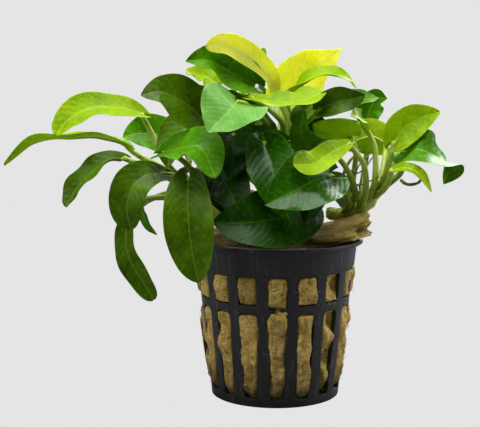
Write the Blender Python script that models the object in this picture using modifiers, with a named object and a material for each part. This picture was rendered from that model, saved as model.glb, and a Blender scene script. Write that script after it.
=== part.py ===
"""A potted anubias: a dwarf aquarium plant growing in rock wool in a round plastic net pot.

The origin is the middle of the pot's underside, +Z is up and -Y is the plant's front.
Every piece that would come apart on a bench is an object of its own: the pot, the two pieces
of rock wool, the rhizomes, the loose roots and each leaf with its stalk.
"""

import math

import bmesh
import bpy
from mathutils import Matrix, Vector

MM = 0.001
GAP = 0.3  # clear space between two pieces that touch, in millimetres
COLLECTION_NAME = "potted_anubias"


# ---------------------------------------------------------------- scene and materials

for old in list(bpy.data.objects):
    bpy.data.objects.remove(old)

plant = bpy.data.collections.new(COLLECTION_NAME)
bpy.context.scene.collection.children.link(plant)


def material(name, red, green, blue, roughness):
    made = bpy.data.materials.new(name)
    made.use_nodes = True
    shader = made.node_tree.nodes["Principled BSDF"]
    shader.inputs["Base Color"].default_value = (red, green, blue, 1.0)
    shader.inputs["Roughness"].default_value = roughness
    shader.inputs["Metallic"].default_value = 0.0
    return made


POT_PLASTIC = material("black_polypropylene", 0.012, 0.012, 0.014, 0.55)
ROCK_WOOL = material("rock_wool", 0.24, 0.17, 0.05, 0.95)
RHIZOME_SKIN = material("rhizome_skin", 0.22, 0.30, 0.04, 0.5)
ROOT_SKIN = material("root_skin", 0.12, 0.09, 0.02, 0.6)
DARK = material("old_leaf", 0.015, 0.085, 0.008, 0.3)
GREEN = material("grown_leaf", 0.04, 0.19, 0.012, 0.35)
YOUNG = material("young_leaf", 0.22, 0.42, 0.01, 0.4)
GOLDEN = material("newest_leaf", 0.62, 0.66, 0.01, 0.45)


def add_object(name, shape, finish):
    """Turns a finished bmesh, in millimetres, into a named object in metres."""
    bmesh.ops.scale(shape, vec=(MM, MM, MM), verts=shape.verts[:])
    mesh = bpy.data.meshes.new(name)
    shape.to_mesh(mesh)
    shape.free()
    mesh.materials.append(finish)
    made = bpy.data.objects.new(name, mesh)
    plant.objects.link(made)
    return made


# ---------------------------------------------------------------- net pot
# One moulded piece: a tapered cup with sixteen slots below a ring and sixteen windows above it,
# a plain band under a thin flat lip, and drain slots round a solid hub in the floor.

POT_WALL = 1.2
FOOT_RADIUS = 19.8
SHOULDER_RADIUS = 24.9
LIP_RADIUS = 27.0
LIP_UNDERSIDE = 47.8
COLUMNS = 16
COLUMN_STEP = math.tau / COLUMNS
SLOT_HEIGHTS = (2.7, 29.0)
WINDOW_HEIGHTS = (31.5, 40.2)
SLOT_WIDTHS = (4.0, 5.8)
HUB_RADIUS = 8.0
DRAIN_RADIUS = 15.0
FRONT_COLUMN = 12  # the column that faces -Y, whose stretch of the ring is broken away


def wall_radius(height):
    return FOOT_RADIUS + (SHOULDER_RADIUS - FOOT_RADIUS) * height / LIP_UNDERSIDE


def open_angle(height):
    """The angle that a slot takes up at a height, as its width grows from bottom to top."""
    bottom, top = SLOT_HEIGHTS
    share = min(max((height - bottom) / (top - bottom), 0.0), 1.0)
    narrow = SLOT_WIDTHS[0] / wall_radius(bottom)
    wide = SLOT_WIDTHS[1] / wall_radius(top)
    return narrow + (wide - narrow) * share


def is_open(face):
    """True for a face of the shell that the mould leaves out."""
    centre = face.calc_center_median()
    column = math.atan2(centre.y, centre.x) / COLUMN_STEP
    if abs(column - round(column)) > 0.1:
        return False
    if centre.z < 0.1:
        return HUB_RADIUS < centre.xy.length < DRAIN_RADIUS
    if WINDOW_HEIGHTS[1] < centre.z or centre.z < SLOT_HEIGHTS[0]:
        return False
    on_ring = SLOT_HEIGHTS[1] < centre.z < WINDOW_HEIGHTS[0]
    return not on_ring or round(column) % COLUMNS == FRONT_COLUMN


def make_pot():
    profile = [(HUB_RADIUS, 0.0), (DRAIN_RADIUS, 0.0)]
    for height in (0.0, *SLOT_HEIGHTS, *WINDOW_HEIGHTS, LIP_UNDERSIDE):
        profile.append((wall_radius(height), height))
    profile.append((LIP_RADIUS, LIP_UNDERSIDE))
    shape = bmesh.new()
    verts = [shape.verts.new((radius, 0.0, height)) for radius, height in profile]
    edges = [shape.edges.new(pair) for pair in zip(verts, verts[1:])]
    bmesh.ops.spin(shape, geom=verts + edges, cent=(0, 0, 0), axis=(0, 0, 1),
                   angle=math.tau, steps=2 * COLUMNS, use_merge=True)
    hub = [e for e in shape.edges if e.is_boundary and e.verts[0].co.xy.length < DRAIN_RADIUS]
    bmesh.ops.contextual_create(shape, geom=hub)
    for vert in shape.verts:
        step = round(math.atan2(vert.co.y, vert.co.x) / (COLUMN_STEP / 2))
        side = step % 2 - 0.5
        turn = (step // 2) * COLUMN_STEP + side * open_angle(vert.co.z)
        radius = vert.co.xy.length
        vert.co.xy = (radius * math.cos(turn), radius * math.sin(turn))
    gaps = [face for face in shape.faces if is_open(face)]
    bmesh.ops.delete(shape, geom=gaps, context="FACES")
    bmesh.ops.recalc_face_normals(shape, faces=shape.faces[:])
    underside = min(shape.faces, key=lambda face: face.calc_center_median().length)
    if underside.normal.z > 0:
        bmesh.ops.reverse_faces(shape, faces=shape.faces[:])
    pot = add_object("net_pot", shape, POT_PLASTIC)
    wall = pot.modifiers.new("wall", "SOLIDIFY")
    wall.thickness = POT_WALL * MM
    wall.offset = -1.0
    wall.use_even_offset = True
    return pot


make_pot()


# ---------------------------------------------------------------- rock wool
# A tapered plug fills the pot, and a second piece is folded over it at the right of the rim.

WOOL_TOP = 49.0
WOOL_SIDE_GAP = 0.5
FLAP_CENTRE = (16.0, -8.0, 49.4)
FLAP_REACH = (13.0, 13.0, 5.0)
FLAP_LEAN = 0.8  # how far the flap's crest leans to the right, per millimetre of its height


def make_wool_plug():
    floor = POT_WALL + GAP
    shape = bmesh.new()
    inset = POT_WALL + WOOL_SIDE_GAP
    bmesh.ops.create_cone(shape, cap_ends=True, segments=2 * COLUMNS, depth=WOOL_TOP - floor,
                          radius1=wall_radius(floor) - inset, radius2=wall_radius(WOOL_TOP) - inset)
    bmesh.ops.translate(shape, vec=(0, 0, (WOOL_TOP + floor) / 2), verts=shape.verts[:])
    add_object("wool_plug", shape, ROCK_WOOL)


def make_wool_flap():
    shape = bmesh.new()
    bmesh.ops.create_uvsphere(shape, u_segments=14, v_segments=6, radius=1.0)
    cut = bmesh.ops.bisect_plane(shape, geom=shape.verts[:] + shape.edges[:] + shape.faces[:],
                                 plane_co=(0, 0, 0), plane_no=(0, 0, -1), clear_outer=True)
    rim = [item for item in cut["geom_cut"] if isinstance(item, bmesh.types.BMEdge)]
    bmesh.ops.contextual_create(shape, geom=rim)
    bmesh.ops.scale(shape, vec=FLAP_REACH, verts=shape.verts[:])
    lean = Matrix.Shear("XY", 4, (FLAP_LEAN, 0.0))
    bmesh.ops.transform(shape, matrix=Matrix.Translation(FLAP_CENTRE) @ lean, verts=shape.verts[:])
    bmesh.ops.recalc_face_normals(shape, faces=shape.faces[:])
    add_object("wool_flap", shape, ROCK_WOOL)


make_wool_plug()
make_wool_flap()


# ---------------------------------------------------------------- curves and tubes

SPAN_STEPS = 10


def smooth_path(points):
    """Points along a Catmull-Rom curve through the given points."""
    knots = [Vector(p) for p in points]
    knots = [2 * knots[0] - knots[1]] + knots + [2 * knots[-1] - knots[-2]]
    path = []
    for k in range(1, len(knots) - 2):
        a, b, c, d = knots[k - 1:k + 3]
        for step in range(SPAN_STEPS):
            t = step / SPAN_STEPS
            path.append(0.5 * (2 * b + (c - a) * t + (2 * a - 5 * b + 4 * c - d) * t ** 2
                               + (3 * b - a - 3 * c + d) * t ** 3))
    path.append(knots[-2])
    return path


def place_on(path, fraction):
    """The point and the direction at a fraction of a path's length."""
    lengths = [(b - a).length for a, b in zip(path, path[1:])]
    left = fraction * sum(lengths)
    k = 0
    while k < len(lengths) - 1 and left > lengths[k]:
        left -= lengths[k]
        k += 1
    point = path[k] + (path[k + 1] - path[k]) * (left / lengths[k])
    before = path[max(k - 1, 0)]
    after = path[min(k + 2, len(path) - 1)]
    return point, (after - before).normalized()


def close_rings(shape, rings, tip=None):
    """Joins rings of vertices, each the same length, into one closed skin, to a tip if given."""
    for low, high in zip(rings, rings[1:]):
        for k in range(len(low)):
            n = (k + 1) % len(low)
            shape.faces.new((low[k], low[n], high[n], high[k]))
    shape.faces.new(rings[0])
    if tip:
        for k in range(len(rings[-1])):
            shape.faces.new((rings[-1][k], rings[-1][(k + 1) % len(rings[-1])], tip))
    else:
        shape.faces.new(rings[-1])
    bmesh.ops.recalc_face_normals(shape, faces=shape.faces[:])


def tube(name, points, radii, finish, sides, rings):
    """A closed tube along a smooth path; its radius goes evenly from the first value to the last."""
    path = smooth_path(points)
    shape = bmesh.new()
    loops = []
    side = Vector((0.3, 1.0, 0.2))
    for k in range(rings):
        share = k / (rings - 1)
        centre, along = place_on(path, share)
        side = (side - along * side.dot(along)).normalized()
        across = along.cross(side)
        radius = radii[0] + (radii[1] - radii[0]) * share
        turns = [math.tau * s / sides for s in range(sides)]
        loops.append([shape.verts.new(centre + radius * (math.cos(t) * side + math.sin(t) * across))
                      for t in turns])
    close_rings(shape, loops)
    add_object(name, shape, finish)


# ---------------------------------------------------------------- rhizomes
# The plant's thick creeping stems: they rise out of the rock wool and carry the leaf stalks.

RHIZOMES = {
    "left": dict(points=[(-13, -4, 52), (-18, -5, 57), (-25, -3, 63), (-30, -1, 69)], radii=(2.9, 2.4)),
    "middle": dict(points=[(1, 3, 50), (2, 3, 60), (0, 3, 70), (1, 4, 80)], radii=(3.0, 2.4)),
    "right": dict(points=[(16, 2, 56), (22, 0, 56), (28, -1, 59), (32, 0, 65)], radii=(2.1, 1.9)),
    "back": dict(points=[(-2, 14, 52), (-1, 18, 58), (2, 22, 64)], radii=(2.6, 2.2)),
}
RHIZOME_SIDES = 8
RHIZOME_RINGS = 7

for place, stem in RHIZOMES.items():
    tube("rhizome_" + place, stem["points"], stem["radii"], RHIZOME_SKIN, RHIZOME_SIDES, RHIZOME_RINGS)
    stem["path"] = smooth_path(stem["points"])


def bud_on(place, share, towards):
    """A point just clear of a rhizome's skin, and the way out from it, on the side of a point."""
    stem = RHIZOMES[place]
    centre, along = place_on(stem["path"], share)
    out = Vector(towards) - centre
    out = (out - along * out.dot(along)).normalized()
    radius = stem["radii"][0] + (stem["radii"][1] - stem["radii"][0]) * share
    return centre + out * (radius + GAP), out


# ---------------------------------------------------------------- loose roots

ROOT_RADIUS = 0.55

ROOTS = {
    "root_loop_right": [(38, -5, 67), (40, -8, 66), (43, -9, 67), (44, -8, 70)],
    "root_right": [(23, 5, 60), (21, 6, 65), (23, 8, 71), (27, 9, 75)],
}

for name, points in ROOTS.items():
    tube(name, points, (ROOT_RADIUS, ROOT_RADIUS), ROOT_SKIN, 6, 9)


# ---------------------------------------------------------------- leaves
# Each leaf is one piece: a round stalk that widens into a blade with a pointed tip, a folded
# midrib and two rounded lobes at its base. Points are in millimetres from the rhizome out, and
# a face is the direction that the blade's upper side looks in.

STALK_RADII = (1.05, 0.85)
STALK_SHARES = (0.0, 0.4, 0.75)
BLADE_SHARES = (0.05, 0.18, 0.35, 0.54, 0.73, 0.9)
BLADE_THICKNESS = 0.7
BASE_POWER = 0.5
LOBE = 0.3
EDGE_STEPS = (-1.0, -0.5, 0.0, 0.5, 1.0)


def outline(share, widest):
    """The blade's half width at a share of its length, as part of its greatest half width."""
    base_power = BASE_POWER * (1 + widest) / 1.4
    tip_power = base_power * (1 - widest) / widest
    return (share / widest) ** base_power * ((1 - share) / (1 - widest)) ** tip_power


def bent(reach, fold, cup):
    """Where a point lies across and above the midrib, on a blade folded and then cupped."""
    if abs(cup) < 0.01:
        return reach * math.cos(fold), reach * math.sin(fold)
    across = reach * (math.sin(fold + cup) - math.sin(fold)) / cup
    above = reach * (math.cos(fold) - math.cos(fold + cup)) / cup
    return across, above


def stalk_ring(shape, centre, along, radius, up):
    side = along.cross(up)
    turns = [math.pi * (1 - k / 4) for k in range(8)]
    return [shape.verts.new(centre + radius * (math.cos(t) * side + math.sin(t) * up)) for t in turns]


def blade_ring(shape, path, share, half, lobe, face, fold, cup):
    centre, along = place_on(path, share)
    up = (face - along * face.dot(along)).normalized()
    side = along.cross(up)
    top = []
    bottom = []
    for step in EDGE_STEPS:
        across, above = bent(half * abs(step), fold, cup * abs(step))
        back = lobe * step * step * (1 - share) ** 4
        spot = centre + side * math.copysign(across, step) + up * above - along * back
        lift = BLADE_THICKNESS / 2 * (1 - step * step) * (1 - 0.5 * share)
        if abs(step) == 1.0:
            top.append(shape.verts.new(spot))
        else:
            top.append(shape.verts.new(spot + up * lift))
            bottom.append(shape.verts.new(spot - up * lift))
    return top + list(reversed(bottom))


def leaf(name, rhizome, share, stalk, blade, width, face, tip_face, finish,
         fold=12, cup=10, widest=0.37):
    bud, out = bud_on(rhizome, share, stalk[0])
    stalk_path = smooth_path([bud] + stalk + [blade[0]])
    blade_path = smooth_path(blade)
    face = Vector(face).normalized()
    tip_face = Vector(tip_face).normalized()
    shape = bmesh.new()
    rings = []
    for part in BLADE_SHARES:
        rings.append(blade_ring(shape, blade_path, part, width / 2 * outline(part, widest), LOBE * width,
                                face.lerp(tip_face, part), math.radians(fold), math.radians(cup)))
    ahead = place_on(blade_path, 0.0)[1]
    up = (face - ahead * face.dot(ahead)).normalized()
    for part in reversed(STALK_SHARES):
        centre, along = place_on(stalk_path, part) if part else (bud, out)
        up = ahead.rotation_difference(along) @ up
        ahead = along
        radius = STALK_RADII[0] + (STALK_RADII[1] - STALK_RADII[0]) * part
        rings.insert(0, stalk_ring(shape, centre, along, radius, up))
    close_rings(shape, rings, tip=shape.verts.new(blade_path[-1]))
    add_object(name, shape, finish)


# Leaves of the left rhizome, from the top down

leaf("leaf_left_arched", "left", 0.95, [(-34, -3, 73), (-38, -1, 81)],
     [(-41, -3, 87), (-48, -4, 89), (-56, -6, 89), (-62, -8, 86), (-66, -10, 81)], 11,
     (0, -2, 3), (-1, -2, 1), YOUNG, widest=0.55)
leaf("leaf_left_long", "left", 0.86, [(-35, 3, 70), (-41, 3, 73)],
     [(-44, 2, 75), (-47, 1, 78), (-54, -2, 80), (-62, -5, 80), (-72, -7, 79), (-82, -9, 72)], 9,
     (0, -1, 4), (0, 1, 2), GREEN, widest=0.5)
leaf("leaf_left_folded", "left", 0.88, [(-35, -6, 69), (-41, -8, 72)],
     [(-46, -8, 74), (-50, -10, 74), (-54, -12, 71), (-59, -13, 66), (-63, -14, 60)], 9, (0, -1, 2),
     (-2, -2, 1), DARK, fold=22, widest=0.55)
leaf("leaf_left_drooping", "left", 0.74, [(-29, -9, 67), (-31, -12, 69)],
     [(-34, -14, 70), (-38, -17, 70), (-42, -20, 67), (-44, -21, 61), (-43, -20, 54)], 12, (0, -1, 1),
     (-1, -4, 0), DARK, widest=0.5)
leaf("leaf_left_hanging", "left", 0.6, [(-30, -1, 61), (-39, -1, 61)],
     [(-44, -1, 58), (-46, -4, 51), (-45, -7, 44), (-41, -9, 37), (-37, -10, 31)], 8,
     (-1, -2, 0), (0, -1, 0), DARK, fold=20, widest=0.6)
leaf("leaf_left_small", "left", 0.72, [(-33, 4, 62), (-39, 4, 60)],
     [(-42, 4, 58), (-40, 3, 53), (-37, 3, 49)], 4, (-1, -1, 0), (-1, -1, 0), GREEN)
leaf("leaf_front_left", "left", 0.5, [(-24, -11, 64), (-26, -17, 69)],
     [(-26, -22, 69), (-26, -27, 62), (-25, -29, 51), (-23, -29, 40)], 15, (0, -2, 1), (0, -1, 0), DARK,
     widest=0.45)
leaf("leaf_left_bright", "left", 0.62, [(-26, -9, 71), (-30, -12, 75)],
     [(-34, -14, 76), (-28, -19, 78), (-22, -24, 78), (-18, -29, 70)], 14, (0, -2, 3), (1, -3, 1), GREEN,
     widest=0.43)
leaf("leaf_left_behind", "left", 0.97, [(-27, 6, 73), (-31, 11, 77)],
     [(-34, 13, 79), (-39, 13, 80), (-44, 12, 80), (-48, 11, 79)], 13, (0, -2, 1), (0, -2, 1), GREEN)
leaf("leaf_left_shaded", "left", 0.8, [(-22, 0, 72), (-20, 4, 80)],
     [(-22, 4, 83), (-28, 0, 82), (-32, -4, 77), (-33, -6, 71)], 13, (0, -1, 1), (-1, -3, 0), DARK)

# Leaves of the middle rhizome: its upper crown

leaf("leaf_golden_arched", "middle", 1.0, [(4, 2, 84), (2, 2, 89)],
     [(0, 2, 92), (-2, 1, 98), (-6, -2, 103), (-11, -6, 106), (-16, -10, 108), (-21, -13, 107)], 8,
     (4, -5, 1), (3, -5, 1), GOLDEN, widest=0.55)
leaf("leaf_golden_upright", "middle", 0.96, [(2, 10, 84), (2, 12, 88)],
     [(3, 12, 91), (7, 12, 96), (12, 11, 101), (17, 9, 104), (21, 8, 107)], 17,
     (0, -1, 0), (0, -1, 0), GOLDEN, widest=0.28)
leaf("leaf_top_left", "middle", 0.98, [(-4, 3, 85), (-7, 1, 93)],
     [(-7, -1, 96), (-13, -4, 99), (-20, -8, 103), (-27, -11, 103)], 14, (0, -2, 1), (0, -2, 1), GREEN,
     fold=25)
leaf("leaf_top_behind", "middle", 0.9, [(-4, 10, 82), (-9, 14, 91)],
     [(-11, 15, 95), (-9, 17, 100), (-5, 17, 104), (-3, 16, 107)], 10, (-1, -2, 0), (0, -1, 0), YOUNG)
leaf("leaf_top_shaded", "middle", 0.9, [(-5, 0, 83), (-6, -1, 88)],
     [(-6, -3, 90), (-12, -5, 91), (-18, -7, 93), (-24, -9, 96)], 8, (0, 1, 3), (0, 1, 3), DARK)
leaf("leaf_top_far_left", "middle", 0.82, [(-7, 8, 80), (-16, 14, 92)],
     [(-19, 15, 96), (-22, 16, 98), (-26, 15, 99), (-28, 13, 99)], 8, (0, -1, 1), (0, -1, 1), YOUNG)
leaf("leaf_top_front", "middle", 0.92, [(2, -3, 84), (-4, -6, 90)],
     [(-8, -8, 92), (-1, -12, 91), (6, -14, 91), (14, -12, 94)], 10, (0, -1, 2), (0, -1, 2), YOUNG,
     widest=0.65)
leaf("leaf_top_right_arch", "middle", 0.97, [(5, 8, 84), (4, 8, 89)],
     [(4, 6, 92), (8, 3, 96), (14, 1, 99), (21, 2, 98), (25, 4, 95)], 10, (0, -1, 3), (1, -1, 2), GREEN)
leaf("leaf_upper_left", "middle", 0.76, [(-5, 0, 78), (-14, -6, 84)],
     [(-22, -10, 86), (-28, -13, 91), (-34, -15, 94), (-40, -16, 93)], 15, (0, -2, 1), (0, -3, 2), DARK)
leaf("leaf_centre_light", "middle", 0.84, [(-3, -5, 84), (-9, -11, 90)],
     [(-12, -13, 91), (-13, -19, 90), (-16, -25, 87), (-20, -30, 83)], 20, (1, -1, 2), (0, -3, 2), GREEN)
leaf("leaf_upper_right_cupped", "middle", 0.86, [(4, -4, 80), (9, -9, 85)],
     [(13, -11, 89), (17, -13, 91), (22, -14, 92), (26, -13, 93)], 9, (0, -2, 1), (1, -2, 0), DARK,
     fold=20)
leaf("leaf_upper_right", "middle", 0.8, [(7, 4, 80), (8, 3, 84)],
     [(10, 1, 87), (18, -2, 89), (24, -4, 91), (31, -3, 92)], 13, (0, -2, 3), (0, -2, 3), GREEN)
leaf("leaf_upper_right_dark", "middle", 0.64, [(6, 0, 75), (7, -1, 81)],
     [(7, -2, 84), (8, -4, 87), (11, -5, 90), (14, -3, 94)], 8, (0, -1, 1), (0, -1, 1), DARK)

# Leaves of the middle rhizome: inside and below

leaf("leaf_centre_shaded", "middle", 0.5, [(6, -3, 71), (6, -6, 77)],
     [(4, -7, 79), (-1, -9, 81), (-6, -9, 82), (-10, -7, 84)], 6, (0, -1, 2), (0, -2, 2), DARK)
leaf("leaf_left_round", "middle", 0.6, [(-5, 0, 73), (-11, -4, 79)],
     [(-13, -9, 81), (-13, -14, 78), (-13, -18, 74), (-14, -21, 69)], 13, (0, -2, 1), (0, -3, 1), DARK)
leaf("leaf_front_low_left", "middle", 0.44, [(-5, -1, 65), (-13, -6, 72)],
     [(-18, -10, 73), (-16, -17, 69), (-13, -22, 64), (-11, -26, 58)], 15, (0, -2, 1), (0, -3, 1), DARK)
leaf("leaf_front_low_edge", "middle", 0.32, [(-6, -2, 62), (-16, -5, 66)],
     [(-18, -8, 68), (-18, -13, 65), (-16, -18, 62), (-14, -20, 58)], 10, (0, -2, 1), (0, -3, 1), DARK)
leaf("leaf_centre_glossy", "middle", 0.54, [(0, -5, 74), (-2, -11, 79)],
     [(-4, -16, 79), (-2, -21, 73), (0, -25, 66), (3, -28, 58)], 15, (0, -1, 1), (0, -2, 1), DARK)
leaf("leaf_rim_broad", "middle", 0.14, [(8, -2, 57), (10, -10, 60)],
     [(8, -16, 60), (1, -23, 58), (-9, -27, 57), (-19, -26, 57)], 20, (0, -3, 1), (0, -2, 1), DARK)
leaf("leaf_rim_small", "middle", 0.26, [(8, -2, 62), (12, -9, 66)],
     [(12, -15, 66), (11, -20, 64), (9, -24, 60), (8, -25, 56)], 9, (0, -1, 1), (0, -1, 1), DARK)

leaf("leaf_inner_high", "back", 0.75, [(-3, 19, 66), (-5, 18, 71)],
     [(-6, 18, 74), (-6, 18, 79), (-6, 19, 84), (-5, 20, 89)], 15, (0, -1, 0), (0, -1, 0), DARK)
leaf("leaf_inner_right", "middle", 0.4, [(6, 6, 66), (9, 8, 69)],
     [(11, 9, 71), (12, 9, 77), (12, 8, 83), (11, 7, 88)], 13, (0, -1, 0), (0, -1, 0), DARK)
leaf("leaf_inner_left", "middle", 0.5, [(-5, 6, 67), (-10, 8, 69)],
     [(-12, 8, 70), (-14, 8, 75), (-16, 7, 80), (-17, 6, 86)], 12, (0, -1, 0), (0, -1, 0), DARK)

# Leaves of the right rhizome

leaf("leaf_front_broad", "right", 0.3, [(22, -6, 60), (19, -13, 67)],
     [(15, -20, 70), (10, -26, 69), (3, -31, 66), (-4, -34, 63)], 19, (0, -2, 1), (0, -2, 1), DARK)
leaf("leaf_right_twisted", "right", 0.42, [(24, -5, 64), (21, -8, 71)],
     [(17, -9, 76), (11, -12, 77), (7, -13, 82), (8, -13, 89)], 9, (-1, -2, 1), (-1, -2, 0), GREEN)
leaf("leaf_right_cupped", "right", 0.45, [(24, 5, 63), (25, 4, 74)],
     [(23, 1, 80), (19, -2, 81), (15, -4, 82), (11, -4, 84)], 12, (0, -2, -1), (0, -1, 0), YOUNG)
leaf("leaf_front_bright", "right", 0.55, [(27, -7, 63), (26, -11, 72)],
     [(21, -15, 79), (16, -20, 77), (10, -26, 74), (4, -30, 74)], 8, (0, -2, 1), (0, -2, 1), YOUNG,
     widest=0.65)
leaf("leaf_right_pale", "right", 0.93, [(33, -6, 68), (34, -9, 74)],
     [(35, -10, 79), (38, -9, 83), (43, -8, 86), (49, -8, 88)], 11, (0, -3, 1), (0, -3, 1), YOUNG)
leaf("leaf_right_young", "right", 0.75, [(30, -5, 67), (30, -3, 77)],
     [(27, -3, 83), (25, -7, 86), (22, -10, 87)], 8, (0, -1, 1), (0, -1, 1), YOUNG)
leaf("leaf_right_behind", "right", 0.72, [(33, 6, 67), (35, 11, 74)],
     [(35, 13, 77), (31, 13, 79), (26, 12, 78), (22, 11, 75)], 12, (0, 1, 0), (0, 1, 0), YOUNG)
leaf("leaf_right_hooked", "right", 1.0, [(38, -3, 69), (38, -6, 73)],
     [(38, -8, 76), (42, -12, 77), (47, -12, 75), (52, -9, 72), (51, -6, 66)], 14, (0, -2, 1), (2, 2, 0),
     GREEN)
leaf("leaf_right_narrow", "right", 0.82, [(33, -7, 65), (34, -11, 69)],
     [(34, -14, 71), (38, -18, 72), (42, -19, 70), (45, -19, 65)], 4, (0, -1, 1), (0, -1, 1), YOUNG)
leaf("leaf_right_dark", "right", 0.98, [(36, 5, 70), (40, 9, 76)],
     [(42, 11, 79), (45, 12, 80), (48, 12, 78), (51, 11, 75)], 8, (1, 0, 2), (1, 0, 1), DARK)
leaf("leaf_right_upright", "right", 0.6, [(28, 10, 66), (30, 17, 76)],
     [(30, 19, 84), (31, 19, 88), (33, 19, 91), (36, 17, 91)], 9, (-1, -2, 0), (0, -1, 0), GREEN)

# Leaves of the back rhizome, which fill the plant's far side

leaf("leaf_back_high", "back", 1.0, [(3, 23, 72), (3, 24, 80)],
     [(3, 26, 86), (2, 31, 91), (0, 37, 92), (-2, 43, 89)], 15, (0, 1, 2), (0, 2, 1), GREEN)
leaf("leaf_back_left", "back", 0.9, [(-3, 24, 68), (-9, 26, 75)],
     [(-13, 27, 79), (-19, 30, 81), (-25, 33, 79), (-31, 35, 74)], 15, (-1, 1, 2), (-1, 2, 1), DARK)
leaf("leaf_back_right", "back", 0.85, [(7, 24, 66), (12, 26, 73)],
     [(15, 27, 77), (21, 29, 79), (28, 31, 78), (34, 33, 73)], 14, (1, 1, 2), (1, 2, 1), GREEN)
leaf("leaf_back_hanging", "back", 0.8, [(3, 28, 63), (4, 33, 67)],
     [(4, 36, 67), (5, 40, 61), (5, 41, 53), (4, 40, 44)], 15, (0, 2, 1), (0, 1, 0), DARK)
leaf("leaf_back_low_left", "back", 0.55, [(-6, 22, 60), (-12, 25, 62)],
     [(-15, 27, 62), (-20, 30, 60), (-26, 32, 55), (-30, 32, 49)], 13, (-1, 2, 2), (-1, 2, 1), DARK)
leaf("leaf_back_low_right", "back", 0.6, [(5, 22, 59), (12, 25, 62)],
     [(15, 27, 63), (20, 29, 61), (25, 31, 56), (28, 31, 49)], 13, (1, 2, 2), (1, 2, 1), DARK)
leaf("leaf_back_rim", "back", 0.35, [(-2, 22, 53), (-3, 26, 56)],
     [(-4, 29, 57), (-6, 33, 54), (-8, 36, 48), (-9, 37, 41)], 12, (0, 2, 1), (0, 1, 0), DARK)
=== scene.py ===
"""Looks of a potted anubias: a dwarf aquarium plant in rock wool in a round plastic net pot."""

import math
import random

import bmesh
import bpy
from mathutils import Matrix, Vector, noise


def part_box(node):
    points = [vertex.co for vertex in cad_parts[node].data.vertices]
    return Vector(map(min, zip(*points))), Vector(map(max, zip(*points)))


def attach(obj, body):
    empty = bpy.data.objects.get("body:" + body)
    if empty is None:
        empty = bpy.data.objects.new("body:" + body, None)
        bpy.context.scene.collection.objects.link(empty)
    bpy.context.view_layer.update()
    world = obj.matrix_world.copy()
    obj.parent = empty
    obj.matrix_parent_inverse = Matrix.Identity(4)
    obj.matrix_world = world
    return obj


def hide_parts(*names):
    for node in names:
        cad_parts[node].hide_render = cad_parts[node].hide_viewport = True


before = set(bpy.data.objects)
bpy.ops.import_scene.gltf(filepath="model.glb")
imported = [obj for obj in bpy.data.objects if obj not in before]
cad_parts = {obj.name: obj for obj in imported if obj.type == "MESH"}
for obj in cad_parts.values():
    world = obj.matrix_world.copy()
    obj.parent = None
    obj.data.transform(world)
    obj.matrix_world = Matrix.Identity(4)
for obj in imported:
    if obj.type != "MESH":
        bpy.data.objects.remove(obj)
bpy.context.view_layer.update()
BODY = "root"
MM = 0.001


# ---------------------------------------------------------------- camera and studio
# The plant stands on a light table: a pale sheet lit from inside, so that it shows hardly any
# shadow. A large soft box hangs above, and one stands at each side and one behind.

CAMERA_PLACE = Vector((-11.0, -368.0, 105.0)) * MM
CAMERA_PITCH = math.radians(7.56)
LENS = 90.0
TABLE_RADIUS = 3.0
PALE = "E5E5E5"


def linear(code, alpha=1.0):
    """An sRGB hex colour as linear values."""
    values = [int(code[k:k + 2], 16) / 255 for k in (0, 2, 4)]
    return [v / 12.92 if v <= 0.04045 else ((v + 0.055) / 1.055) ** 2.4 for v in values] + [alpha]


def node(tree, kind, inputs=(), **settings):
    """Adds a shader node with its settings; an input is a value or another node's output."""
    made = tree.nodes.new("ShaderNode" + kind)
    for key, value in settings.items():
        setattr(made, key, value)
    for socket, value in dict(inputs).items():
        if isinstance(value, bpy.types.NodeSocket):
            tree.links.new(value, made.inputs[socket])
        else:
            made.inputs[socket].default_value = value
    return made


def new_material(name):
    """An empty node material, and its tree and output."""
    made = bpy.data.materials.new(name)
    made.use_nodes = True
    made.node_tree.nodes.clear()
    return made, made.node_tree, node(made.node_tree, "OutputMaterial")


def soft_box(name, place, aim, size, power):
    light = bpy.data.lights.new(name, "AREA")
    light.shape = "RECTANGLE"
    light.size, light.size_y = size
    light.energy = power
    lamp = bpy.data.objects.new(name, light)
    lamp.location = place
    lamp.rotation_euler = (Vector(aim) - Vector(place)).to_track_quat("-Z", "Y").to_euler()
    bpy.context.scene.collection.objects.link(lamp)


lens = bpy.data.cameras.new("camera")
lens.lens = LENS
lens.sensor_width = 36.0
camera = bpy.data.objects.new("camera", lens)
camera.location = CAMERA_PLACE
camera.rotation_euler = (math.pi / 2 - CAMERA_PITCH, 0.0, 0.0)
bpy.context.scene.collection.objects.link(camera)
bpy.context.scene.camera = camera

world = bpy.data.worlds.new("light_tent")
world.use_nodes = True
world.node_tree.nodes.clear()
tent = world.node_tree
look = node(tent, "TexCoord").outputs["Generated"]
height = node(tent, "SeparateXYZ", {0: look}).outputs["Z"]
ramp = node(tent, "ValToRGB", {0: node(tent, "MapRange", {0: height, 1: -1.0, 2: 1.0}).outputs[0]})
ramp.color_ramp.elements[0].color = linear("404040")
ramp.color_ramp.elements[1].color = linear("FFFFFF")
glow = node(tent, "Background", {"Color": ramp.outputs[0], "Strength": 0.17})
seen = node(tent, "Background", {"Color": linear(PALE), "Strength": 1.0})
direct = node(tent, "LightPath").outputs["Is Camera Ray"]
sky = node(tent, "MixShader", {0: direct, 1: glow.outputs[0], 2: seen.outputs[0]})
node(tent, "OutputWorld", {0: sky.outputs[0]})
bpy.context.scene.world = world
bpy.context.scene.view_settings.view_transform = "Standard"

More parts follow.
